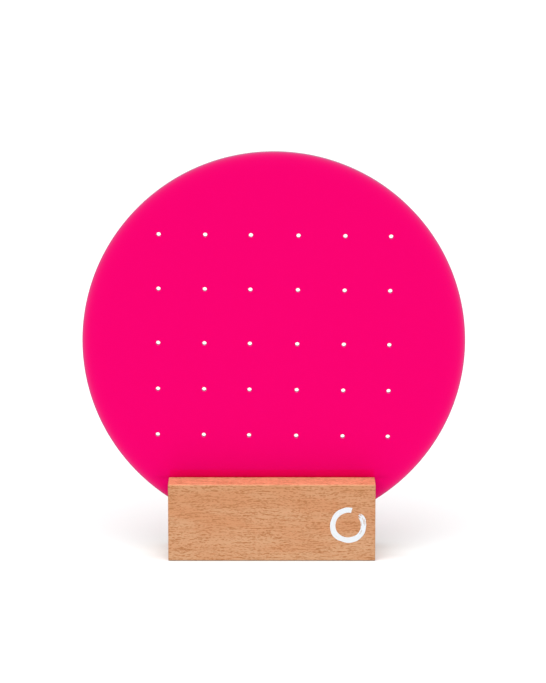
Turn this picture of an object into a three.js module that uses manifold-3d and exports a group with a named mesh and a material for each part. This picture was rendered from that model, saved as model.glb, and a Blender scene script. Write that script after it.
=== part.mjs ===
// A round acrylic earring display that stands in a slotted beech block.
// Millimetres, +Z up. The origin is on the table, under the middle of the block. +X runs along the block
// and -Y is the front, which carries a painted ring near the right-hand end.
import * as THREE from "three";
import { mergeVertices } from "three/addons/utils/BufferGeometryUtils.js";
import Module from "manifold-3d";

const wasm = await Module();
wasm.setup();

// ---- Driving dimensions ----

// display disc
const DISC_DIAMETER = 200;
const DISC_THICKNESS = 3;
const DISC_ARRIS = 0.25; // polished-off corner round the rim and at both mouths of each hole
const DISC_ROLL = 1.05; // how far the disc has rolled along its slot, right of the block's middle

// holes for the earring posts
const HOLE_DIAMETER = 2.2;
const COLUMNS = 6;
const ROWS = 5;
const SIDE_MARGIN = 39.6; // from the disc's side to the first and last column
const TOP_MARGIN = 43.8; // from the disc's top to the first row
const BOTTOM_MARGIN = 49.9; // from the disc's foot to the last row
const LONG_GAPS = 2; // this many of the upper rows have more room under them, for drop earrings
const LONG_GAP_EXTRA = 4.2;
const COLUMN_SHIFTS = [0, 0, -0.4, 0.2, 0.4, 0]; // hand marking-out, away from the even pitch

// base block
const BLOCK_LENGTH = 108.3;
const BLOCK_DEPTH = 38.4;
const BLOCK_HEIGHT = 40.9;
const EDGE_RADIUS = 0.4; // sanded outer edges
const SLOT_DEPTH = 27.6;
const SLOT_PLAY = 0.2; // between the disc and each wall of the slot
const SLOT_ARRIS = 0.4; // chamfer along the slot's mouth

// painted ring
const RING_DIAMETER = 19;
const RING_STROKE = 2.8;
const RING_INSET = 14.3; // from the block's right-hand end to the ring's middle
const RING_HEIGHT = 19.2; // from the table to the ring's middle
const RING_GAP = THREE.MathUtils.degToRad(14); // between the start and the end of the brush stroke
const RING_START = THREE.MathUtils.degToRad(62);
const PAINT_THICKNESS = 0.15;

// smoothness of the round stretches
const RIM_SIDES = 180;
const HOLE_SIDES = 16;
const EDGE_STEPS = 4;
const RING_STEPS = 48;

// ---- Sizes that follow ----

const discRadius = DISC_DIAMETER / 2;
const discCentreHeight = BLOCK_HEIGHT - SLOT_DEPTH + discRadius;
const slotWidth = DISC_THICKNESS + 2 * SLOT_PLAY;
const PAST = 10; // how far a cutter runs past the face that it cuts

// ---- Finishes ----

const beech = new THREE.MeshStandardMaterial({ color: 0xd3986e, roughness: 0.6, metalness: 0 });
const pinkAcrylic = new THREE.MeshStandardMaterial({ color: 0xfc0171, roughness: 0.3, metalness: 0 });
const whitePaint = new THREE.MeshStandardMaterial({ color: 0xf4f6f8, roughness: 0.55, metalness: 0 });

// ---- Helpers ----

/** A closed geometry as a manifold-3d solid. */
function solid(geometry) {
  const bare = geometry.clone();
  bare.deleteAttribute("normal");
  bare.deleteAttribute("uv");
  const merged = mergeVertices(bare);
  return new wasm.Manifold(
    new wasm.Mesh({
      numProp: 3,
      vertProperties: merged.getAttribute("position").array,
      triVerts: new Uint32Array(merged.index.array),
    }),
  );
}

/** A manifold-3d solid as a geometry. */
function geometryOf(manifold) {
  const { vertProperties, triVerts } = manifold.getMesh();
  const geometry = new THREE.BufferGeometry();
  geometry.setAttribute("position", new THREE.BufferAttribute(vertProperties, 3));
  geometry.setIndex(new THREE.BufferAttribute(triVerts, 1));
  geometry.computeVertexNormals();
  return geometry;
}

/** A circle as a path of straight sides. */
function circlePath(x, y, radius, sides) {
  const arc = new THREE.EllipseCurve(x, y, radius, radius);
  return new THREE.Path(arc.getPoints(sides));
}

/** A rectangle round the origin with rounded corners. */
function roundedRectangle(width, height, radius) {
  const right = width / 2 - radius;
  const top = height / 2 - radius;
  const quarter = Math.PI / 2;
  return new THREE.Shape()
    .absarc(right, top, radius, 0, quarter)
    .absarc(-right, top, radius, quarter, 2 * quarter)
    .absarc(-right, -top, radius, 2 * quarter, 3 * quarter)
    .absarc(right, -top, radius, 3 * quarter, 4 * quarter)
    .closePath();
}

/** A profile drawn as depth by height, extruded along X and centred on it. */
function alongX(profile, length, options) {
  const geometry = new THREE.ExtrudeGeometry(profile, { depth: length, ...options });
  geometry.translate(0, 0, -length / 2);
  const depthAxis = new THREE.Vector3(0, 1, 0);
  const heightAxis = new THREE.Vector3(0, 0, 1);
  const lengthAxis = new THREE.Vector3(1, 0, 0);
  return geometry.applyMatrix4(new THREE.Matrix4().makeBasis(depthAxis, heightAxis, lengthAxis));
}

function named(name, geometry, material) {
  const mesh = new THREE.Mesh(geometry, material);
  mesh.name = name;
  return mesh;
}

// ---- Base block ----

/** The sawn blank with every outer edge rounded over, standing on z = 0. */
function blockBlank() {
  const section = roundedRectangle(BLOCK_DEPTH, BLOCK_HEIGHT, EDGE_RADIUS * 1.01);
  const blank = alongX(section, BLOCK_LENGTH - 2 * EDGE_RADIUS, {
    curveSegments: EDGE_STEPS,
    bevelThickness: EDGE_RADIUS,
    bevelSize: EDGE_RADIUS,
    bevelOffset: -EDGE_RADIUS,
    bevelSegments: EDGE_STEPS,
  });
  return blank.translate(0, 0, BLOCK_HEIGHT / 2);
}

/** The slot as a cutter: a straight kerf, flaring into the chamfers at its mouth. */
function slotCutter() {
  const half = slotWidth / 2;
  const mouth = half + SLOT_ARRIS;
  const floor = BLOCK_HEIGHT - SLOT_DEPTH;
  const profile = new THREE.Shape()
    .moveTo(-half, floor)
    .lineTo(half, floor)
    .lineTo(half, BLOCK_HEIGHT - SLOT_ARRIS)
    .lineTo(mouth, BLOCK_HEIGHT)
    .lineTo(mouth, BLOCK_HEIGHT + PAST)
    .lineTo(-mouth, BLOCK_HEIGHT + PAST)
    .lineTo(-mouth, BLOCK_HEIGHT)
    .lineTo(-half, BLOCK_HEIGHT - SLOT_ARRIS)
    .closePath();
  return alongX(profile, BLOCK_LENGTH + 2 * PAST, { bevelEnabled: false });
}

function baseBlock() {
  const cut = solid(blockBlank()).subtract(solid(slotCutter()));
  return named("base_block", geometryOf(cut), beech);
}

// ---- Display disc ----

/** Where the holes go, on the disc's own X and Y from its centre. */
function holeCentres() {
  const columnPitch = (DISC_DIAMETER - 2 * SIDE_MARGIN) / (COLUMNS - 1);
  const gridHeight = DISC_DIAMETER - TOP_MARGIN - BOTTOM_MARGIN;
  const rowPitch = (gridHeight - LONG_GAPS * LONG_GAP_EXTRA) / (ROWS - 1);
  const centres = [];
  for (let row = 0; row < ROWS; row++) {
    const y = discRadius - TOP_MARGIN - row * rowPitch - Math.min(row, LONG_GAPS) * LONG_GAP_EXTRA;
    for (let column = 0; column < COLUMNS; column++) {
      const x = SIDE_MARGIN - discRadius + column * columnPitch + (COLUMN_SHIFTS[column] ?? 0);
      centres.push([x, y]);
    }
  }
  return centres;
}

function displayDisc() {
  const outline = new THREE.Shape(circlePath(0, 0, discRadius, RIM_SIDES).getPoints());
  for (const [x, y] of holeCentres()) {
    outline.holes.push(circlePath(x, y, HOLE_DIAMETER / 2, HOLE_SIDES));
  }
  const geometry = new THREE.ExtrudeGeometry(outline, {
    depth: DISC_THICKNESS - 2 * DISC_ARRIS,
    bevelThickness: DISC_ARRIS,
    bevelSize: DISC_ARRIS,
    bevelOffset: -DISC_ARRIS,
    bevelSegments: 1,
  });
  geometry.translate(0, 0, DISC_ARRIS - DISC_THICKNESS / 2);

  // Upright in the slot, resting on its floor, and turned as far as the roll has turned it.
  const disc = named("display_disc", geometry, pinkAcrylic);
  disc.position.set(DISC_ROLL, 0, discCentreHeight);
  disc.rotation.set(Math.PI / 2, 0, -DISC_ROLL / discRadius);
  return disc;
}

// ---- Painted ring ----

/** One brush stroke laid round on the block's front face, with a small gap where it ends. */
function paintedRing() {
  const outer = RING_DIAMETER / 2;
  const inner = outer - RING_STROKE;
  const end = RING_START + 2 * Math.PI - RING_GAP;
  const stroke = new THREE.Shape()
    .absarc(0, 0, outer, RING_START, end)
    .absarc(0, 0, inner, end, RING_START, true)
    .closePath();
  const geometry = new THREE.ExtrudeGeometry(stroke, {
    depth: PAINT_THICKNESS,
    curveSegments: RING_STEPS,
    bevelEnabled: false,
  });

  const ring = named("painted_ring", geometry, whitePaint);
  ring.position.set(BLOCK_LENGTH / 2 - RING_INSET, -BLOCK_DEPTH / 2, RING_HEIGHT);
  ring.rotation.x = Math.PI / 2;
  return ring;
}

// ---- Assembly ----

const base = new THREE.Group();
base.add(baseBlock(), paintedRing());

const stand = new THREE.Group();
stand.add(base, displayDisc());

export default stand;
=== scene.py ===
"""A round acrylic earring display that stands in a slotted beech block, finished around its CAD frame.

Metres, +Z up. The block's underside is on z = 0, +X runs along the block and -Y is its painted front.
"""

import math
import random

import bmesh
import bpy
from bpy.props import FloatProperty, FloatVectorProperty, IntProperty, PointerProperty
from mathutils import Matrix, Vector


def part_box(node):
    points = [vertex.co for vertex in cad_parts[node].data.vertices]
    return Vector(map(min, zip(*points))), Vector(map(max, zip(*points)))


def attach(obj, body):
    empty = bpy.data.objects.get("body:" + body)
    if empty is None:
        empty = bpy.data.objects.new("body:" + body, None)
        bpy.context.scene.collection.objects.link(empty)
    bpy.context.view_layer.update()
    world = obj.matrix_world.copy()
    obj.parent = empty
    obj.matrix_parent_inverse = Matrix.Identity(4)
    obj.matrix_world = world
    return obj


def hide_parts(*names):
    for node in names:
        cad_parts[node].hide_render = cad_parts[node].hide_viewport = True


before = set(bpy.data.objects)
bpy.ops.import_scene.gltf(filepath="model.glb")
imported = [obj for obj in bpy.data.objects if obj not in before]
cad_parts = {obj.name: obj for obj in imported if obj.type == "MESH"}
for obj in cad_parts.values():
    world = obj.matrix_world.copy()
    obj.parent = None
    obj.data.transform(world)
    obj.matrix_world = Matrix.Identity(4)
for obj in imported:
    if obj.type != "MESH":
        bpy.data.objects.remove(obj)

bl_info = {
    "name": "Earring Display Stand",
    "version": (1, 0, 0),
    "blender": (4, 5, 0),
    "location": "3D View > Sidebar > Earring Stand",
    "description": "Models an acrylic earring display disc, its slotted beech block and a painted ring",
    "category": "Add Mesh",
}

MM = 0.001
TINY = 0.01 * MM  # places closer than this count as one
MERGE = 0.001 * MM  # points closer than this are merged

BLOCK_LOW, BLOCK_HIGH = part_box("base_block")
DISC_LOW, DISC_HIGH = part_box("display_disc")
RING_LOW, RING_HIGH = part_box("painted_ring")

BLOCK_SIZE = BLOCK_HIGH - BLOCK_LOW
BLOCK_CENTRE = (BLOCK_LOW + BLOCK_HIGH) / 2
BLOCK_HALF = BLOCK_SIZE / 2
BLOCK_TOP = BLOCK_HIGH.z
SLOT_FLOOR = DISC_LOW.z
DISC_CENTRE = (DISC_LOW + DISC_HIGH) / 2
DISC_RADIUS = (DISC_HIGH.x - DISC_LOW.x) / 2
DISC_THICKNESS = DISC_HIGH.y - DISC_LOW.y
RING_CENTRE = (RING_LOW + RING_HIGH) / 2
RING_RADIUS = (RING_HIGH.x - RING_LOW.x) / 2
PAINT_THICKNESS = BLOCK_LOW.y - RING_LOW.y

# Small errors of marking out by hand: how far each column of holes is off its even pitch.
COLUMN_SHIFTS = (0, 0, -0.4 * MM, 0.2 * MM, 0.4 * MM, 0)

# The log that the block was sawn from lies along X. Its sizes are in millimetres, as in all the shaders.
PITH = (0.0, 46.0, -34.0)  # its heart lay behind and below the block
LOG_RADIUS = 85.0  # angles round the pith are measured as lengths on this radius
LAYER_WANDER = 11.0  # how far the growth layers wander
RAY_LENGTH = 9.0  # how far a ray runs out along the radius


# ---- Settings ----


def length(name, description, millimetres):
    return FloatProperty(
        name=name, description=description, default=millimetres * MM, unit="LENGTH", precision=5
    )


def angle(name, description, degrees):
    return FloatProperty(name=name, description=description, default=math.radians(degrees), subtype="ANGLE")


def amount(name, description, value):
    return FloatProperty(name=name, description=description, default=value)


def count(name, description, number, least):
    return IntProperty(name=name, description=description, default=number, min=least)


def colour(name, description, red, green, blue):
    return FloatVectorProperty(
        name=name, description=description, default=(red, green, blue), subtype="COLOR", size=3, min=0, max=1
    )


class BlockSettings(bpy.types.PropertyGroup):
    """Sizes and colours of the beech block."""

    edge_radius: length("Edge Radius", "Radius that the outer edges are sanded to", 0.4)
    edge_wander: length("Edge Wander", "How far the hand-sanded edges wander", 0.12)
    face_wander: length("Face Wander", "How far the sanded faces are from flat", 0.04)
    slot_play: length("Slot Play", "Gap between the disc and each wall of the slot", 0.2)
    slot_arris: length("Slot Arris", "Chamfer along the slot's mouth", 0.4)
    mesh_step: length("Mesh Step", "Spacing of the cuts that let the surface wander", 1.5)
    ring_spacing: length("Growth Ring Spacing", "Distance from one growth ring to the next", 2.7)
    fleck_length: length("Fleck Length", "Spacing of the ray flecks, along the grain", 2.8)
    fleck_width: length("Fleck Width", "Spacing of the ray flecks, across the grain", 0.6)
    relief: length("Grain Relief", "Depth of the grain in the surface", 0.05)
    pale: colour("Pale Wood", "Early wood", 0.501, 0.267, 0.137)
    warm: colour("Warm Wood", "Pinker patches", 0.476, 0.212, 0.093)
    late: colour("Late Wood", "Denser wood at the end of each growth ring", 0.46, 0.215, 0.098)
    fleck: colour("Ray Fleck", "Ends of the rays and the darker fibres", 0.328, 0.124, 0.034)
    # Painted light: the pink light that the disc throws on the top face, put into the top's colour.
    top: colour("Lit Top", "Top of the block, where the disc throws its pink light", 0.90, 0.372, 0.207)
    # Partly the paler wood of the sanded edges, partly a painted highlight along the rounded top edges.
    edge: colour("Sanded Edge", "Fresh wood of the sanded top edges", 0.72, 0.335, 0.172)
    # Painted shade: the dark contact line where the block meets the floor, put into the wood's colour.
    foot: colour("Foot", "Shadow along the foot of the block", 0.14, 0.075, 0.045)


class DiscSettings(bpy.types.PropertyGroup):
    """Sizes and colours of the acrylic disc."""

    sides: count("Rim Sides", "Straight sides round the rim", 480, 96)
    hole_sides: count("Hole Sides", "Straight sides round each hole", 48, 16)
    arris: length("Arris", "Polished corner round the rim and at the holes' mouths", 0.25)
    hole_diameter: length("Hole Diameter", "Hole for an earring post", 2.2)
    columns: count("Columns", "Holes in each row", 6, 2)
    rows: count("Rows", "Rows of holes", 5, 2)
    side_margin: length("Side Margin", "From the disc's side to the first and last column", 39.6)
    top_margin: length("Top Margin", "From the disc's top to the first row", 43.8)
    bottom_margin: length("Bottom Margin", "From the disc's foot to the last row", 49.9)
    long_gaps: count("Long Gaps", "Upper rows with more room under them", 2, 0)
    long_gap_extra: length("Long Gap Extra", "Extra room under those rows, for drop earrings", 4.2)
    glow_reach: length("Glow Reach", "How far the bright band along the rim reaches into the sheet", 0.72)
    haze_reach: length("Haze Reach", "How far the faint haze inside that band reaches", 2.4)
    # Painted shade: the dark line and band on the disc at the slot's mouth stand for the shade and the
    # reflection of the block there.
    line: amount("Scuff Line", "Strength of the line that the slot's mouth has shaded", 0.7)
    line_reach: length("Scuff Line Reach", "How far that line fades up and down", 0.91)
    band: amount("Scuff Band", "Strength of the wider band round that line", 0.34)
    band_reach: length("Scuff Band Reach", "How far that band fades up and down", 7.14)
    scuff_fade: length("Scuff Fade", "How far both fade to each side of the block's ends", 12)
    relief: length("Waviness", "Depth of the waves in the cast sheet", 0.25)
    face: colour("Sheet", "Fluorescent sheet, seen on its face", 0.672, 0.0, 0.087)
    # Partly the polished rim's own colour, partly a painted glow in the band that the rim lights in the
    # sheet.
    rim: colour("Rim", "Polished rim, and the band that it lights in the sheet", 0.475, 0.08, 0.168)
    # Painted glow: the paler sheet just inside the rim stands for light carried in from the rim.
    haze: colour("Haze", "Paler sheet just inside the rim", 0.662, 0.007, 0.103)
    drilled: colour("Drilled Wall", "Rough wall of a drilled hole", 0.60, 0.09, 0.24)
    # Painted shade and reflection of the block, on the sheet at the slot's mouth.
    scuff: colour("Shade", "Sheet that the slot's mouth has shaded dull", 0.42, 0.0, 0.005)
    gloss: colour("Gloss Tint", "Tint of the reflections in the sheet", 1.0, 0.02, 1.0)


class RingSettings(bpy.types.PropertyGroup):
    """Sizes and colours of the brushed ring."""

    stroke: length("Stroke", "Width of the brush stroke", 2.8)
    start: angle("Start", "Where the stroke starts", 62)
    gap: angle("Gap", "Between the stroke's start and its end", 14)
    bristles: count("Bristles", "Bristle tracks across the stroke", 14, 4)
    steps: count("Steps", "Steps along the stroke", 190, 24)
    wander: length("Wander", "How far the hand-drawn stroke wanders", 0.7)
    film: length("Film", "Thickness of the coat under its bristle tracks", 0.12)
    start_fray: amount("Start Fray", "Share of the stroke in which its bristles land on the wood", 0.022)
    end_fray: amount("End Fray", "Share of the stroke in which they leave it", 0.05)
    relief: length("Brush Relief", "Depth of the finest brush marks", 0.06)
    hand: count("Hand", "Another number gives another painter's hand", 7, 0)
    paint: colour("Paint", "White paint", 0.62, 0.665, 0.70)
    thin_paint: colour("Thin Paint", "Paint where the brush ran dry", 0.56, 0.50, 0.45)


class StageSettings(bpy.types.PropertyGroup):
    """The floor, the light and the camera."""

    floor_size: FloatProperty(name="Floor Size", description="Side of the floor", default=80, unit="LENGTH")
    floor_drop: length("Floor Drop", "How far the floor is below the block's underside", 0.02)
    floor: colour("Floor", "Plain pale floor", 0.86, 0.84, 0.84)
    sky: amount("Sky", "Light from all round", 0.62)
    sky_tint: colour("Sky Tint", "Slightly cool, as white walls look beside a warm key", 0.92, 1.0, 1.0)
    key: amount("Key", "Light from the softbox, above and in front", 3.1)
    key_tilt: angle("Key Tilt", "How far the softbox is in front", 32)
    key_aside: angle("Key Aside", "How far it is to the right, or to the left where this is below zero", -6)
    key_spread: angle("Key Spread", "How wide it looks from the stand", 88)
    lens: FloatProperty(
        name="Lens", description="Focal length in millimetres", default=172.8, subtype="DISTANCE_CAMERA"
    )
    distance: length("Camera Distance", "From the disc's front face to the camera", 1682.2)
    height: length("Camera Height", "From the floor to the camera", 432.0)
    aside: length("Camera Aside", "How far the camera is to the right of the block's middle", 0.64)
    pitch: angle("Camera Pitch", "How far the camera looks down", 10.72)


# ---- Modelling helpers ----


def deselect_all():
    if bpy.context.object and bpy.context.object.mode != "OBJECT":
        bpy.ops.object.mode_set(mode="OBJECT")
    bpy.ops.object.select_all(action="DESELECT")


def only(piece):
    """Makes a piece the one that is selected and active."""
    deselect_all()
    piece.select_set(True)
    bpy.context.view_layer.objects.active = piece


def place_in_mesh(piece):
    """Puts the piece's place, turn and scale into its mesh."""
    only(piece)
    bpy.ops.object.transform_apply(location=True, rotation=True, scale=True)


def added(name):
    """Names the primitive that was added last."""
    piece = bpy.context.object
    piece.name = piece.data.name = name
    return piece


def select(piece, kind, test):
    """In edit mode, selects only the vertices, edges or faces that pass a test. Returns how many."""
    bpy.ops.mesh.select_mode(type={"verts": "VERT", "edges": "EDGE", "faces": "FACE"}[kind])
    bpy.ops.mesh.select_all(action="DESELECT")
    mesh = bmesh.from_edit_mesh(piece.data)
    chosen = [part for part in getattr(mesh, kind) if test(part)]
    for part in chosen:
        part.select_set(True)
    mesh.select_flush_mode()
    bmesh.update_edit_mesh(piece.data)
    return len(chosen)


def middle(edge):
    return (edge.verts[0].co + edge.verts[1].co) / 2


def sharp(edge):
    return edge.calc_face_angle(0) > math.radians(60)


def cut_across(place, normal):
    """In edit mode, cuts the whole mesh with a plane and keeps both sides."""
    bpy.ops.mesh.select_all(action="SELECT")
    bpy.ops.mesh.bisect(plane_co=place, plane_no=normal)


def cut_along(axis, low, high, step):
    """In edit mode, cuts the whole mesh across an axis at even steps between two places."""
    cuts = max(1, round((high - low) / step))
    normal = Vector((0, 0, 0))
    normal[axis] = 1
    for index in range(1, cuts):
        cut_across(normal * (low + (high - low) * index / cuts), normal)


def apply_modifier(piece, kind, **settings):
    only(piece)
    modifier = piece.modifiers.new(kind.lower(), kind)
    for name, value in settings.items():
        setattr(modifier, name, value)
    bpy.ops.object.modifier_apply(modifier=modifier.name)


def displace(piece, name, size, depth=2, **settings):
    """Moves a piece's surface by a soft random relief."""
    texture = bpy.data.textures.new(name, "CLOUDS")
    texture.noise_scale = size
    texture.noise_depth = depth
    apply_modifier(piece, "DISPLACE", texture=texture, texture_coords="LOCAL", **settings)


def face_out(piece):
    """Merges doubles, then turns every face outwards."""
    only(piece)
    bpy.ops.object.mode_set(mode="EDIT")
    bpy.ops.mesh.select_all(action="SELECT")
    bpy.ops.mesh.remove_doubles(threshold=MERGE)
    bpy.ops.mesh.normals_make_consistent(inside=False)
    bpy.ops.object.mode_set(mode="OBJECT")


def smooth(piece, degrees):
    """Shades a piece smooth, but for edges that turn more than this."""
    only(piece)
    bpy.ops.object.shade_smooth_by_angle(angle=math.radians(degrees))


def finish_piece(piece, node, body, material):
    piece.data.materials.clear()
    piece.data.materials.append(material)
    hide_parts(node)
    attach(piece, body)


# ---- Shader helpers ----


class Graph:
    """Adds nodes to a tree. An input is a number, a colour or another node's output."""

    def __init__(self, tree):
        self.tree = tree

    def feed(self, socket, value):
        if isinstance(value, bpy.types.NodeSocket):
            self.tree.links.new(value, socket)
        elif socket.type == "RGBA":
            socket.default_value = (*value[:3], 1)
        else:
            socket.default_value = value

    def node(self, kind, inputs, **settings):
        made = self.tree.nodes.new(kind)
        for name, value in settings.items():
            setattr(made, name, value)
        for name, value in inputs.items():
            self.feed(made.inputs[name], value)
        return made

    def math(self, operation, *values):
        return self.node("ShaderNodeMath", dict(enumerate(values)), operation=operation).outputs[0]

    def total(self, first, *others):
        for other in others:
            first = self.math("ADD", first, other)
        return first

    def product(self, first, *others):
        for other in others:
            first = self.math("MULTIPLY", first, other)
        return first

    def absolute(self, value):
        return self.math("ABSOLUTE", value)

    def vector(self, operation, *values):
        inputs = dict(enumerate(values))
        return self.node("ShaderNodeVectorMath", inputs, operation=operation).outputs["Vector"]

    def scaled(self, vector, factor):
        inputs = {"Vector": vector, "Scale": factor}
        return self.node("ShaderNodeVectorMath", inputs, operation="SCALE").outputs["Vector"]

    def dot(self, a, b):
        return self.node("ShaderNodeVectorMath", {0: a, 1: b}, operation="DOT_PRODUCT").outputs["Value"]

    def split(self, vector):
        return self.node("ShaderNodeSeparateXYZ", {0: vector}).outputs

    def join(self, x, y, z):
        return self.node("ShaderNodeCombineXYZ", {0: x, 1: y, 2: z}).outputs[0]

    def step(self, value, low, high, to_low=0.0, to_high=1.0):
        """Runs smoothly from one value to another as the input goes from low to high."""
        inputs = {"Value": value, "From Min": low, "From Max": high, "To Min": to_low, "To Max": to_high}
        return self.node("ShaderNodeMapRange", inputs, interpolation_type="SMOOTHSTEP").outputs["Result"]

    def fade(self, distance, reach):
        """Falls from 1 as the distance grows, to about a third at this reach, in metres."""
        return self.math("EXPONENT", self.math("DIVIDE", distance, -reach / MM))

    def mix(self, factor, a, b):
        inputs = {"Factor": factor, "A": a, "B": b}
        made = self.tree.nodes.new("ShaderNodeMix")
        made.data_type = "RGBA"
        for socket in made.inputs:
            if socket.enabled and socket.name in inputs:
                self.feed(socket, inputs[socket.name])
        return next(socket for socket in made.outputs if socket.enabled)

    def noise(self, vector, scale=1.0, detail=2.0, roughness=0.5, output="Fac"):
        inputs = {"Vector": vector, "Scale": scale, "Detail": detail, "Roughness": roughness}
        return self.node("ShaderNodeTexNoise", inputs).outputs[output]

    def cells(self, vector):
        """Random cells: the distance to the nearest one's middle, and that one's three random numbers."""
        outputs = self.node("ShaderNodeTexVoronoi", {"Vector": vector, "Scale": 1.0}).outputs
        return outputs["Distance"], self.split(outputs["Color"])

    def group(self, tree, inputs):
        made = self.node("ShaderNodeGroup", {}, node_tree=tree)
        for name, value in inputs.items():
            self.feed(made.inputs[name], value)
        return made.outputs


def new_group(name, inputs, outputs):
    """An empty node group with these sockets, as a graph, its inputs and its output node."""
    tree = bpy.data.node_groups.new(name, "ShaderNodeTree")
    for socket, kind in inputs.items():
        tree.interface.new_socket(socket, in_out="INPUT", socket_type=kind)
    for socket, kind in outputs.items():
        tree.interface.new_socket(socket, in_out="OUTPUT", socket_type=kind)
    graph = Graph(tree)
    return graph, tree.nodes.new("NodeGroupInput").outputs, tree.nodes.new("NodeGroupOutput")


def shared_group(build):
    """A node group that is built once and then shared."""
    return bpy.data.node_groups.get(build.__name__) or build()


def new_material(name, **uniform):
    """A material as a graph and its Principled node, with the sockets that are the same all over."""
    material = bpy.data.materials.new(name)
    material.use_nodes = True
    shader = material.node_tree.nodes["Principled BSDF"]
    for socket, value in uniform.items():
        shader.inputs[socket.replace("_", " ")].default_value = value
    return material, Graph(material.node_tree), shader


def place_in_millimetres(graph):
    """Where a point of the surface is in the stand's own frame."""
    return graph.scaled(graph.node("ShaderNodeTexCoord", {}).outputs["Object"], 1 / MM)


def surface_normal(graph):
    return graph.split(graph.node("ShaderNodeNewGeometry", {}).outputs["Normal"])


def distance_from(graph, a, b):
    return graph.math("SQRT", graph.total(graph.product(a, a), graph.product(b, b)))


def bump(graph, height, depth):
    """A normal for a relief this deep, in metres, from a height that runs from 0 to 1."""
    return graph.node("ShaderNodeBump", {"Height": height, "Distance": depth}).outputs["Normal"]


# ---- Shared effects ----


def beech_figure():
    """The figure of beech all through its log: growth rings, ray flecks, fibres and soft mottling."""
    graph, inputs, output = new_group(
        "beech_figure",
        {
            "Place": "NodeSocketVector",
            "Pith": "NodeSocketVector",
            "Ring Spacing": "NodeSocketFloat",
            "Fleck Length": "NodeSocketFloat",
            "Fleck Width": "NodeSocketFloat",
        },
        {name: "NodeSocketFloat" for name in ("Late Wood", "Fleck", "Fibre", "Mottle", "Ray")},
    )

    # Growth layers wander gently along the log, so a place is moved before it is measured from the pith.
    slow = graph.vector("MULTIPLY", inputs["Place"], (0.010, 0.022, 0.022))
    wander = graph.vector("SUBTRACT", graph.noise(slow, detail=2.0, output="Color"), (0.5, 0.5, 0.5))
    moved = graph.vector("ADD", inputs["Place"], graph.scaled(wander, LAYER_WANDER))
    x, y, z = graph.split(graph.vector("SUBTRACT", moved, inputs["Pith"]))
    out = distance_from(graph, y, z)
    around = graph.product(graph.math("ARCTAN2", z, y), LOG_RADIUS)

    # Each growth ring darkens slowly and ends in a sharp line. Rings differ in width and in strength.
    uneven = graph.noise(graph.join(0.0, 0.0, graph.product(out, 0.11)), detail=1.0)
    ring = graph.total(graph.math("DIVIDE", out, inputs["Ring Spacing"]), graph.product(uneven, 2.2))
    phase = graph.math("FRACT", ring)
    number = {"W": graph.math("FLOOR", ring)}
    chance = graph.node("ShaderNodeTexWhiteNoise", number, noise_dimensions="1D").outputs["Value"]
    strength = graph.step(chance, 0.0, 1.0, 0.35, 1.0)
    late = graph.product(graph.step(phase, 0.25, 0.96), graph.step(phase, 1.0, 0.96), strength)
    graph.feed(output.inputs["Late Wood"], late)

    # The grain runs a little up and down along the log.
    drift = graph.join(graph.product(x, 0.07), graph.product(around, 0.2), 0.0)
    swayed = graph.total(around, graph.product(graph.noise(drift, detail=1.0), 1.2))

    # A ray is a thin ribbon along the radius, so its end is a short dark dash on a flat-sawn face.
    along = graph.math("DIVIDE", x, inputs["Fleck Length"])
    across = graph.math("DIVIDE", swayed, inputs["Fleck Width"])
    distance, random_numbers = graph.cells(graph.join(along, across, graph.math("DIVIDE", out, RAY_LENGTH)))
    size = graph.step(random_numbers[0], 0.0, 1.0, 0.18, 0.5)
    fleck = graph.step(graph.math("DIVIDE", distance, size), 1.0, 0.45)
    graph.feed(output.inputs["Fleck"], graph.product(fleck, graph.step(random_numbers[1], 0.2, 1.0)))

    # Fibres are fine long streaks, and soft patches of warmer wood lie among them.
    spun = graph.join(x, swayed, out)
    long_fibres = graph.noise(graph.vector("MULTIPLY", spun, (0.10, 2.5, 1.5)), detail=1.0)
    short_fibres = graph.noise(graph.vector("MULTIPLY", spun, (0.62, 2.7, 1.5)), detail=1.0)
    graph.feed(output.inputs["Fibre"], graph.step(graph.total(long_fibres, short_fibres), 0.6, 1.4))
    patches = graph.vector("MULTIPLY", graph.join(x, around, out), (0.032, 0.11, 0.11))
    graph.feed(output.inputs["Mottle"], graph.step(graph.noise(patches, detail=1.0), 0.3, 0.7))

    # On end grain the rays are fine pale lines that run out from the pith.
    lines = graph.join(around, graph.product(out, 0.05), 0.0)
    graph.feed(output.inputs["Ray"], graph.step(graph.noise(lines, detail=3.0, roughness=0.7), 0.5, 0.72))
    return graph.tree


def beech_inputs(place):
    settings = bpy.context.scene.stand_block
    return {
        "Place": place,
        "Pith": PITH,
        "Ring Spacing": settings.ring_spacing / MM,
        "Fleck Length": settings.fleck_length / MM,
        "Fleck Width": settings.fleck_width / MM,
    }


def fine_wear():
    """Faint smudges and hairline scratches from handling an upright sheet, as one mask."""
    graph, inputs, output = new_group(
        "fine_wear", {"Place": "NodeSocketVector", "Amount": "NodeSocketFloat"}, {"Mask": "NodeSocketFloat"}
    )
    smudge = graph.step(graph.noise(inputs["Place"], scale=0.035, detail=3.0), 0.42, 0.75)
    hairs = 0.0
    for turn in (0.35, 1.3, 2.4):
        along = graph.dot(inputs["Place"], (math.cos(turn), 0.0, math.sin(turn)))
        across = graph.dot(inputs["Place"], (-math.sin(turn), 0.0, math.cos(turn)))
        stretched = graph.join(graph.product(along, 0.03), graph.product(across, 2.6), turn)
        hairs = graph.math("MAXIMUM", hairs, graph.step(graph.noise(stretched, detail=1.0), 0.72, 0.8))
    mask = graph.total(smudge, graph.product(hairs, 0.6))
    graph.feed(output.inputs["Mask"], graph.product(mask, inputs["Amount"]))
    return graph.tree


# ---- Beech block ----


def slot_half_width():
    return DISC_THICKNESS / 2 + bpy.context.scene.stand_block.slot_play


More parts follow.
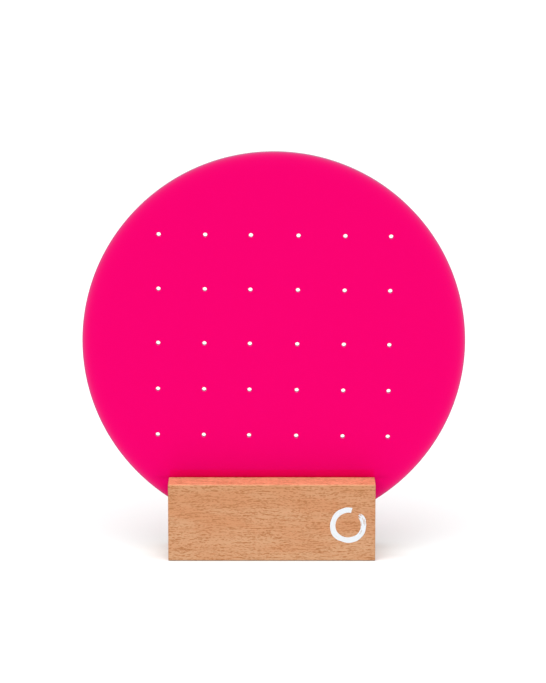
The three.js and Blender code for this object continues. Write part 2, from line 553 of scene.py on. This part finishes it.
def slot_mask(graph, y, z):
    """The walls and the floor of the saw slot."""
    wall = (slot_half_width() + bpy.context.scene.stand_block.slot_arris / 2) / MM
    floor = SLOT_FLOOR / MM
    between = graph.step(graph.absolute(y), wall + 0.1, wall - 0.1)
    return graph.product(between, graph.step(z, floor - 0.4, floor - 0.1))


def sanded_edge_mask(graph, place, normal):
    """The block's long edges, here more and there less, but not along its foot: paler sanded wood and a
    painted highlight.
    """
    x, y, z = graph.split(place)
    rounded = graph.step(graph.absolute(graph.product(normal[1], normal[2])), 0.12, 0.4)
    uneven = graph.noise(graph.join(graph.product(x, 0.06), y, z), detail=2.0)
    return graph.product(rounded, graph.step(uneven, 0.35, 0.65, 0.3, 0.9), graph.step(z, 1.0, 3.0))


def oiled_beech():
    settings = bpy.context.scene.stand_block
    material, graph, shader = new_material("oiled_beech", IOR=1.45)
    place = place_in_millimetres(graph)
    figure = graph.group(shared_group(beech_figure), beech_inputs(place))
    x, y, z = graph.split(place)
    normal = surface_normal(graph)
    end_grain = graph.step(graph.absolute(normal[0]), 0.55, 0.9)
    flecks = graph.product(figure["Fleck"], graph.math("SUBTRACT", 1.0, end_grain))
    rays = graph.product(end_grain, figure["Ray"])
    in_slot = slot_mask(graph, y, z)

    # The block is darker and warmer towards its top, and the top face gets a painted pink light: the light
    # that the fluorescent disc throws on it, put into the wood's colour.
    warmth = graph.total(figure["Mottle"], graph.step(z, 0.0, BLOCK_TOP / MM, -0.45, 0.6))
    wood = graph.mix(warmth, settings.pale, settings.warm)
    wood = graph.mix(graph.step(normal[2], 0.2, 0.75, 0.0, 0.6), wood, settings.top)

    wood = graph.mix(graph.product(figure["Late Wood"], 0.2), wood, settings.late)
    wood = graph.mix(graph.step(figure["Fibre"], 0.52, 0.08), wood, settings.fleck)
    wood = graph.mix(graph.product(flecks, 0.85), wood, settings.fleck)

    # End grain drinks more oil, so it is darker, and its growth rings and pale rays stand out.
    wood = graph.mix(graph.product(end_grain, 0.45), wood, settings.late)
    wood = graph.mix(graph.product(end_grain, figure["Late Wood"], 0.5), wood, settings.fleck)
    wood = graph.mix(graph.product(rays, 0.55), wood, settings.pale)

    # Painted shade darkens the wood along the foot, where the block meets the floor, the long edges are
    # sanded paler and carry a painted highlight, and the saw has browned the slot.
    wood = graph.mix(graph.step(z, 0.7, 0.15, 0.0, 0.65), wood, settings.foot)
    # Paler sanded wood with a painted highlight on the rounded top edges.
    wood = graph.mix(sanded_edge_mask(graph, place, normal), wood, settings.edge)
    wood = graph.mix(graph.product(in_slot, 0.55), wood, settings.fleck)
    graph.feed(shader.inputs["Base Color"], wood)

    rough = graph.step(figure["Fibre"], 0.2, 0.8, 0.5, 0.62)
    rough = graph.total(rough, graph.product(graph.math("MAXIMUM", end_grain, in_slot), 0.2))
    graph.feed(shader.inputs["Roughness"], rough)

    # Fibres stand up, flecks and rays lie a little lower, and the saw has left its arcs in the slot.
    saw_arcs = graph.math("SINE", graph.product(graph.total(x, graph.product(z, 0.35)), 5.0))
    relief = graph.math("SUBTRACT", graph.product(figure["Fibre"], 0.6), graph.product(flecks, 0.4))
    relief = graph.total(relief, graph.product(saw_arcs, in_slot, 0.8))
    relief = graph.math("SUBTRACT", relief, graph.product(rays, 0.3))
    graph.feed(shader.inputs["Normal"], bump(graph, relief, settings.relief))
    return material


def saw_slot(block, half_slot):
    """In edit mode, marks the slot out with cuts, takes its faces off and fills in its walls and floor."""
    for place, normal in (
        ((0, half_slot, 0), (0, 1, 0)),
        ((0, -half_slot, 0), (0, 1, 0)),
        ((0, 0, SLOT_FLOOR), (0, 0, 1)),
    ):
        cut_across(place, normal)

    def waste(face):
        place = face.calc_center_median()
        return abs(place.y) < half_slot and place.z > SLOT_FLOOR + TINY

    select(block, "faces", waste)
    bpy.ops.mesh.delete(type="FACE")
    for side in (-half_slot, half_slot):
        select(block, "verts", lambda vert: abs(vert.co.y - side) < TINY and vert.co.z > SLOT_FLOOR - TINY)
        bpy.ops.mesh.edge_face_add()

    def on_floor(vert):
        return abs(vert.co.y) < half_slot + TINY and abs(vert.co.z - SLOT_FLOOR) < TINY

    select(block, "verts", on_floor)
    bpy.ops.mesh.edge_face_add()


def round_edges(block, half_slot, settings):
    """In edit mode, gives the slot's mouth its small arris and sands the outer edges round."""

    def mouth(edge):
        place = middle(edge)
        at_wall = abs(abs(place.y) - half_slot) < TINY
        at_mouth = abs(place.z - BLOCK_TOP) < TINY or abs(abs(place.x) - BLOCK_HALF.x) < TINY
        return at_wall and at_mouth and sharp(edge)

    def outer(edge):
        place = middle(edge)
        to_faces = (abs(place.x) - BLOCK_HALF.x, abs(place.y) - BLOCK_HALF.y, place.z, place.z - BLOCK_TOP)
        return sum(abs(gap) < TINY for gap in to_faces) == 2 and sharp(edge)

    select(block, "edges", mouth)
    bpy.ops.mesh.bevel(offset=settings.slot_arris, segments=2, affect="EDGES")
    select(block, "edges", outer)
    bpy.ops.mesh.bevel(offset=settings.edge_radius, segments=5, affect="EDGES")


def sand_by_hand(block, settings):
    """Leaves the faces a little hollow and the edges uneven, inside the sawn size."""
    worn = block.vertex_groups.new(name="worn_edges")
    reach = settings.edge_radius * 0.95  # just short of the flat faces
    for vert in block.data.vertices:
        to_sides = BLOCK_HALF.x - abs(vert.co.x), BLOCK_HALF.y - abs(vert.co.y)
        second_nearest = sorted((*to_sides, vert.co.z, BLOCK_TOP - vert.co.z))[1]
        if second_nearest < reach:
            worn.add([vert.index], 1.0, "REPLACE")
    displace(block, "sanding", 14 * MM, strength=settings.face_wander, mid_level=1.0)
    displace(
        block, "edge_sanding", 5 * MM, strength=settings.edge_wander, mid_level=0.9, vertex_group="worn_edges"
    )


class STAND_OT_base_block(bpy.types.Operator):
    """Models the sanded beech block with its saw slot"""

    bl_idname = "stand.base_block"
    bl_label = "Beech Block"

    def execute(self, context):
        settings = context.scene.stand_block
        half_slot = slot_half_width()

        deselect_all()
        bpy.ops.mesh.primitive_cube_add(size=1, location=BLOCK_CENTRE, scale=BLOCK_SIZE)
        block = added("beech_block")
        place_in_mesh(block)

        bpy.ops.object.mode_set(mode="EDIT")
        saw_slot(block, half_slot)
        round_edges(block, half_slot, settings)
        inset = 2 * settings.edge_radius
        cut_along(0, -BLOCK_HALF.x + inset, BLOCK_HALF.x - inset, settings.mesh_step)
        cut_along(1, -BLOCK_HALF.y + inset, BLOCK_HALF.y - inset, settings.mesh_step)
        cut_along(2, inset, BLOCK_TOP - inset, settings.mesh_step)
        bpy.ops.object.mode_set(mode="OBJECT")

        sand_by_hand(block, settings)
        face_out(block)
        smooth(block, 40)
        apply_modifier(block, "WEIGHTED_NORMAL", keep_sharp=True)
        finish_piece(block, "base_block", "base", oiled_beech())
        return {"FINISHED"}


# ---- Acrylic disc ----


def column_places(settings):
    """How far each column of holes is to the right of the disc's middle."""
    width = 2 * (DISC_RADIUS - settings.side_margin)
    places = [width * (column / (settings.columns - 1) - 0.5) for column in range(settings.columns)]
    for column, shift in enumerate(COLUMN_SHIFTS[: settings.columns]):
        places[column] += shift
    return places


def row_places(settings):
    """How far each row of holes is above the disc's middle."""
    top = DISC_RADIUS - settings.top_margin
    extra = settings.long_gap_extra
    grid = 2 * DISC_RADIUS - settings.top_margin - settings.bottom_margin
    pitch = (grid - settings.long_gaps * extra) / (settings.rows - 1)
    return [top - row * pitch - min(row, settings.long_gaps) * extra for row in range(settings.rows)]


def disc_turn():
    """The turn that goes with how far the disc has rolled along its slot."""
    return -DISC_CENTRE.x / DISC_RADIUS


def distance_to_nearest(graph, value, places):
    """How far a value is from the nearest of some places, in millimetres."""
    least = 2 * DISC_RADIUS / MM
    for place in places:
        gap = graph.absolute(graph.math("SUBTRACT", value, place / MM))
        least = graph.math("MINIMUM", least, gap)
    return least


def rubbed_mask(graph, place, settings):
    """A painted shade across the sheet at the slot's mouth, a dark line in a faint wider band: the shade and
    the reflection of the block where the disc enters its slot.
    """
    across, _, up = graph.split(place)
    from_mouth = graph.absolute(graph.math("SUBTRACT", up, BLOCK_TOP / MM))
    line = graph.product(graph.fade(from_mouth, settings.line_reach), settings.line)
    band = graph.product(graph.fade(from_mouth, settings.band_reach), settings.band)
    inner = (BLOCK_HALF.x - settings.scuff_fade) / MM
    outer = (BLOCK_HALF.x + settings.scuff_fade) / MM
    return graph.product(graph.total(line, band), graph.step(graph.absolute(across), outer, inner))


def fluorescent_acrylic():
    settings = bpy.context.scene.stand_disc
    material, graph, shader = new_material(
        "fluorescent_acrylic", IOR=1.49, Specular_Tint=(*settings.gloss, 1)
    )
    place = place_in_millimetres(graph)
    from_centre = graph.vector("SUBTRACT", place, DISC_CENTRE / MM)
    mapping = {"Vector": from_centre, "Rotation": (0.0, disc_turn(), 0.0)}
    x, _, z = graph.split(graph.node("ShaderNodeMapping", mapping, vector_type="POINT").outputs[0])

    # A painted glow stands for the light that the sheet carries to its polished rim: a paler band along the
    # rim and a fainter paler band inside it. Drilled walls are rough.
    inside = graph.math("SUBTRACT", DISC_RADIUS / MM, distance_from(graph, x, z))
    from_rim = graph.math("MAXIMUM", inside, 0.0)
    to_hole = distance_from(
        graph,
        distance_to_nearest(graph, x, column_places(settings)),
        distance_to_nearest(graph, z, row_places(settings)),
    )
    from_hole = graph.math("SUBTRACT", to_hole, settings.hole_diameter / 2 / MM)
    drilled = graph.step(from_hole, 0.12, 0.03)
    sheet = graph.mix(graph.fade(from_rim, settings.haze_reach), settings.face, settings.haze)
    sheet = graph.mix(graph.fade(from_rim, settings.glow_reach), sheet, settings.rim)
    sheet = graph.mix(drilled, sheet, settings.drilled)
    # Painted shade and reflection of the block along the slot's mouth.
    sheet = graph.mix(rubbed_mask(graph, place, settings), sheet, settings.scuff)
    graph.feed(shader.inputs["Base Color"], sheet)

    wear = graph.group(shared_group(fine_wear), {"Place": place, "Amount": 1.0})["Mask"]
    rough = graph.step(wear, 0.0, 1.0, 0.09, 0.2)
    graph.feed(shader.inputs["Roughness"], graph.math("MAXIMUM", rough, graph.product(drilled, 0.6)))

    # Cast sheet is never quite flat, and the cutter leaves fine lines across the rim.
    wave = graph.noise(place, scale=0.02, detail=1.0)
    around = graph.product(graph.math("ARCTAN2", z, x), 1900.0)
    lines = graph.product(graph.math("SINE", around), graph.step(from_rim, 0.3, 0.1, 0.0, 0.02))
    graph.feed(shader.inputs["Normal"], bump(graph, graph.total(wave, lines), settings.relief))
    return material


def drill_holes(disc, settings, upright):
    """Drills the rows of holes through a disc that stands round the origin."""
    deselect_all()
    drills = []
    for z in row_places(settings):
        for x in column_places(settings):
            bpy.ops.mesh.primitive_cylinder_add(
                vertices=settings.hole_sides, radius=settings.hole_diameter / 2, depth=3 * DISC_THICKNESS,
                location=(x, 0, z), rotation=upright
            )
            drills.append(added("drill"))
    for drill in drills:
        drill.select_set(True)
    bpy.ops.object.join()
    joined = bpy.context.object
    place_in_mesh(joined)
    apply_modifier(disc, "BOOLEAN", object=joined, operation="DIFFERENCE", solver="EXACT")
    bpy.data.objects.remove(joined)


class STAND_OT_display_disc(bpy.types.Operator):
    """Models the acrylic disc with its rows of drilled holes"""

    bl_idname = "stand.display_disc"
    bl_label = "Acrylic Disc"

    def execute(self, context):
        settings = context.scene.stand_disc
        upright = (math.pi / 2, 0, 0)

        deselect_all()
        bpy.ops.mesh.primitive_cylinder_add(
            vertices=settings.sides, radius=DISC_RADIUS, depth=DISC_THICKNESS, rotation=upright
        )
        disc = added("acrylic_disc")
        place_in_mesh(disc)
        drill_holes(disc, settings, upright)

        only(disc)
        bpy.ops.object.mode_set(mode="EDIT")
        bpy.ops.mesh.select_mode(type="EDGE")
        bpy.ops.mesh.select_all(action="DESELECT")
        bpy.ops.mesh.edges_select_sharp(sharpness=math.radians(60))
        bpy.ops.mesh.bevel(offset=settings.arris, segments=4, affect="EDGES")
        bpy.ops.object.mode_set(mode="OBJECT")

        disc.rotation_euler = (0, -disc_turn(), 0)
        disc.location = DISC_CENTRE
        place_in_mesh(disc)
        face_out(disc)
        smooth(disc, 8)
        finish_piece(disc, "display_disc", "disc", fluorescent_acrylic())
        return {"FINISHED"}


# ---- Painted ring ----


def brushed_paint():
    settings = bpy.context.scene.stand_ring
    material, graph, shader = new_material("brushed_paint", IOR=1.47)
    place = place_in_millimetres(graph)
    x, _, z = graph.split(graph.vector("SUBTRACT", place, RING_CENTRE / MM))
    out = distance_from(graph, x, z)
    along = graph.product(graph.math("ARCTAN2", z, x), RING_RADIUS / MM)
    bristles = graph.noise(graph.join(graph.product(out, 4.2), graph.product(along, 0.16), 0.0), detail=3.0)

    # The coat is thin between the bristles' tracks and over the wood's flecks.
    figure = graph.group(shared_group(beech_figure), beech_inputs(place))
    thin = graph.total(graph.step(bristles, 0.46, 0.72), graph.product(figure["Fleck"], 0.4))
    paint = graph.mix(graph.product(thin, 0.45), settings.paint, settings.thin_paint)
    graph.feed(shader.inputs["Base Color"], paint)
    graph.feed(shader.inputs["Roughness"], graph.step(bristles, 0.3, 0.7, 0.42, 0.6))
    graph.feed(shader.inputs["Normal"], bump(graph, bristles, settings.relief))
    return material


def load_brush(settings, hand, inner, track):
    """A row of points across the brush, each as high as its bristle lays the paint, left in edit mode."""
    deselect_all()
    bpy.ops.mesh.primitive_grid_add(
        x_subdivisions=settings.bristles, y_subdivisions=1, size=1,
        location=(inner + settings.stroke / 2, 0, 0)
    )
    ring = added("brushed_ring")
    ring.scale = (settings.stroke, settings.stroke, 1)
    place_in_mesh(ring)
    bpy.ops.object.mode_set(mode="EDIT")
    select(ring, "verts", lambda vert: vert.co.y > 0)
    bpy.ops.mesh.delete(type="VERT")
    bpy.ops.mesh.select_all(action="SELECT")
    bpy.ops.transform.resize(value=(1, 0, 1), center_override=(0, 0, 0))
    for bristle in range(settings.bristles + 1):
        height = hand.uniform(0.35, 0.9) * PAINT_THICKNESS
        at_side = bristle in (0, settings.bristles)
        if at_side:
            height = 0.2 * PAINT_THICKNESS
        if not select(ring, "verts", lambda vert: abs(vert.co.x - inner - bristle * track) < track / 4):
            raise RuntimeError("a bristle has no point")
        bpy.ops.transform.translate(value=(0, -height, 0))
    return ring


def fray(ring, settings, hand, inner, track, sweep):
    """In edit mode, starts and stops each bristle at its own place, and runs some dry near the end."""
    start, end = settings.start_fray, settings.end_fray
    ragged = [(hand.uniform(0, start), hand.uniform(0, end)) for _ in range(settings.bristles)]
    dry = [(hand.uniform(0.72, 0.95), hand.uniform(0.02, 0.09)) for _ in range(settings.bristles)]

    def bare(face):
        place = face.calc_center_median()
        out = math.hypot(place.x, place.z)
        bristle = min(settings.bristles - 1, max(0, int((out - inner) / track)))
        done = ((math.atan2(place.z, place.x) - settings.start) % (2 * math.pi)) / sweep
        starts, stops = ragged[bristle]
        runs_dry, for_long = dry[bristle]
        every_third = bristle % 3 == 1
        gap = every_third and runs_dry < done < runs_dry + for_long
        return done < starts or done > 1 - stops or gap

    select(ring, "faces", bare)
    bpy.ops.mesh.delete(type="FACE")


class STAND_OT_painted_ring(bpy.types.Operator):
    """Models one brush stroke of white paint, laid round on the block's front"""

    bl_idname = "stand.painted_ring"
    bl_label = "Painted Ring"

    def execute(self, context):
        settings = context.scene.stand_ring
        hand = random.Random(settings.hand)
        inner = RING_RADIUS - settings.stroke
        track = settings.stroke / settings.bristles
        sweep = 2 * math.pi - settings.gap

        ring = load_brush(settings, hand, inner, track)
        bpy.ops.mesh.select_all(action="SELECT")
        bpy.ops.transform.rotate(value=settings.start, orient_axis="Y", center_override=(0, 0, 0))
        bpy.ops.mesh.spin(steps=settings.steps, angle=sweep, center=(0, 0, 0), axis=(0, -1, 0))
        bpy.ops.mesh.select_all(action="SELECT")
        bpy.ops.mesh.remove_doubles(threshold=MERGE)
        fray(ring, settings, hand, inner, track, sweep)
        bpy.ops.object.mode_set(mode="OBJECT")

        ring.location = (RING_CENTRE.x, BLOCK_LOW.y, RING_CENTRE.z)
        place_in_mesh(ring)
        for axis, size in (("X", 7 * MM), ("Z", 6 * MM)):
            displace(ring, f"hand_{axis}", size, 1, direction=axis, strength=settings.wander, mid_level=0.5)
        apply_modifier(ring, "SOLIDIFY", thickness=settings.film, offset=1)
        face_out(ring)
        smooth(ring, 50)
        finish_piece(ring, "painted_ring", "base", brushed_paint())
        return {"FINISHED"}


# ---- Stage ----


def white_floor(settings):
    uniform = {"Base_Color": (*settings.floor, 1), "Roughness": 0.9, "Specular_IOR_Level": 0.2}
    return new_material("white_floor", **uniform)[0]


def studio_sky(settings):
    """Even light from all round, which the camera sees as plain white."""
    world = bpy.data.worlds.new("studio_sky")
    world.use_nodes = True
    graph = Graph(world.node_tree)
    background = world.node_tree.nodes["Background"]
    seen = graph.node("ShaderNodeLightPath", {}).outputs["Is Camera Ray"]
    graph.feed(background.inputs["Color"], graph.mix(seen, settings.sky_tint, (1, 1, 1)))
    graph.feed(background.inputs["Strength"], graph.step(seen, 0.0, 1.0, settings.sky, 1.0))
    return world


class STAND_OT_stage(bpy.types.Operator):
    """Sets the floor, the light and the camera"""

    bl_idname = "stand.stage"
    bl_label = "Stage"

    def execute(self, context):
        settings = context.scene.stand_stage
        deselect_all()
        bpy.ops.mesh.primitive_plane_add(size=settings.floor_size, location=(0, 0, -settings.floor_drop))
        floor = added("floor")
        place_in_mesh(floor)
        floor.data.materials.append(white_floor(settings))

        context.scene.world = studio_sky(settings)
        bpy.ops.object.light_add(type="SUN", rotation=(settings.key_tilt, settings.key_aside, 0))
        softbox = bpy.context.object
        softbox.name = "softbox"
        softbox.data.energy = settings.key
        softbox.data.angle = settings.key_spread

        bpy.ops.object.camera_add(
            location=(settings.aside, DISC_LOW.y - settings.distance, settings.height),
            rotation=(math.pi / 2 - settings.pitch, 0, 0),
        )
        camera = bpy.context.object
        camera.name = "camera"
        camera.data.lens = settings.lens
        context.scene.camera = camera
        context.scene.view_settings.view_transform = "Standard"
        return {"FINISHED"}


# ---- Add-on ----


OPERATORS = (STAND_OT_stage, STAND_OT_base_block, STAND_OT_display_disc, STAND_OT_painted_ring)
SETTINGS = {
    "stand_block": BlockSettings,
    "stand_disc": DiscSettings,
    "stand_ring": RingSettings,
    "stand_stage": StageSettings,
}


class STAND_PT_panel(bpy.types.Panel):
    """Lists the stand's pieces and their sizes"""

    bl_idname = "STAND_PT_panel"
    bl_label = "Earring Display Stand"
    bl_space_type = "VIEW_3D"
    bl_region_type = "UI"
    bl_category = "Earring Stand"

    def draw(self, context):
        for operator in OPERATORS:
            self.layout.operator(operator.bl_idname)
        for name, kind in SETTINGS.items():
            box = self.layout.box()
            box.label(text=kind.__doc__)
            for setting in kind.__annotations__:
                box.prop(getattr(context.scene, name), setting)


CLASSES = (*SETTINGS.values(), *OPERATORS, STAND_PT_panel)


def register():
    for kind in CLASSES:
        bpy.utils.register_class(kind)
    for name, kind in SETTINGS.items():
        setattr(bpy.types.Scene, name, PointerProperty(type=kind))


def unregister():
    for name in SETTINGS:
        delattr(bpy.types.Scene, name)
    for kind in reversed(CLASSES):
        bpy.utils.unregister_class(kind)


def main():
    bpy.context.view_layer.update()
    register()
    bpy.ops.stand.stage()
    bpy.ops.stand.base_block()
    bpy.ops.stand.display_disc()
    bpy.ops.stand.painted_ring()


if __name__ == "__main__":
    main()
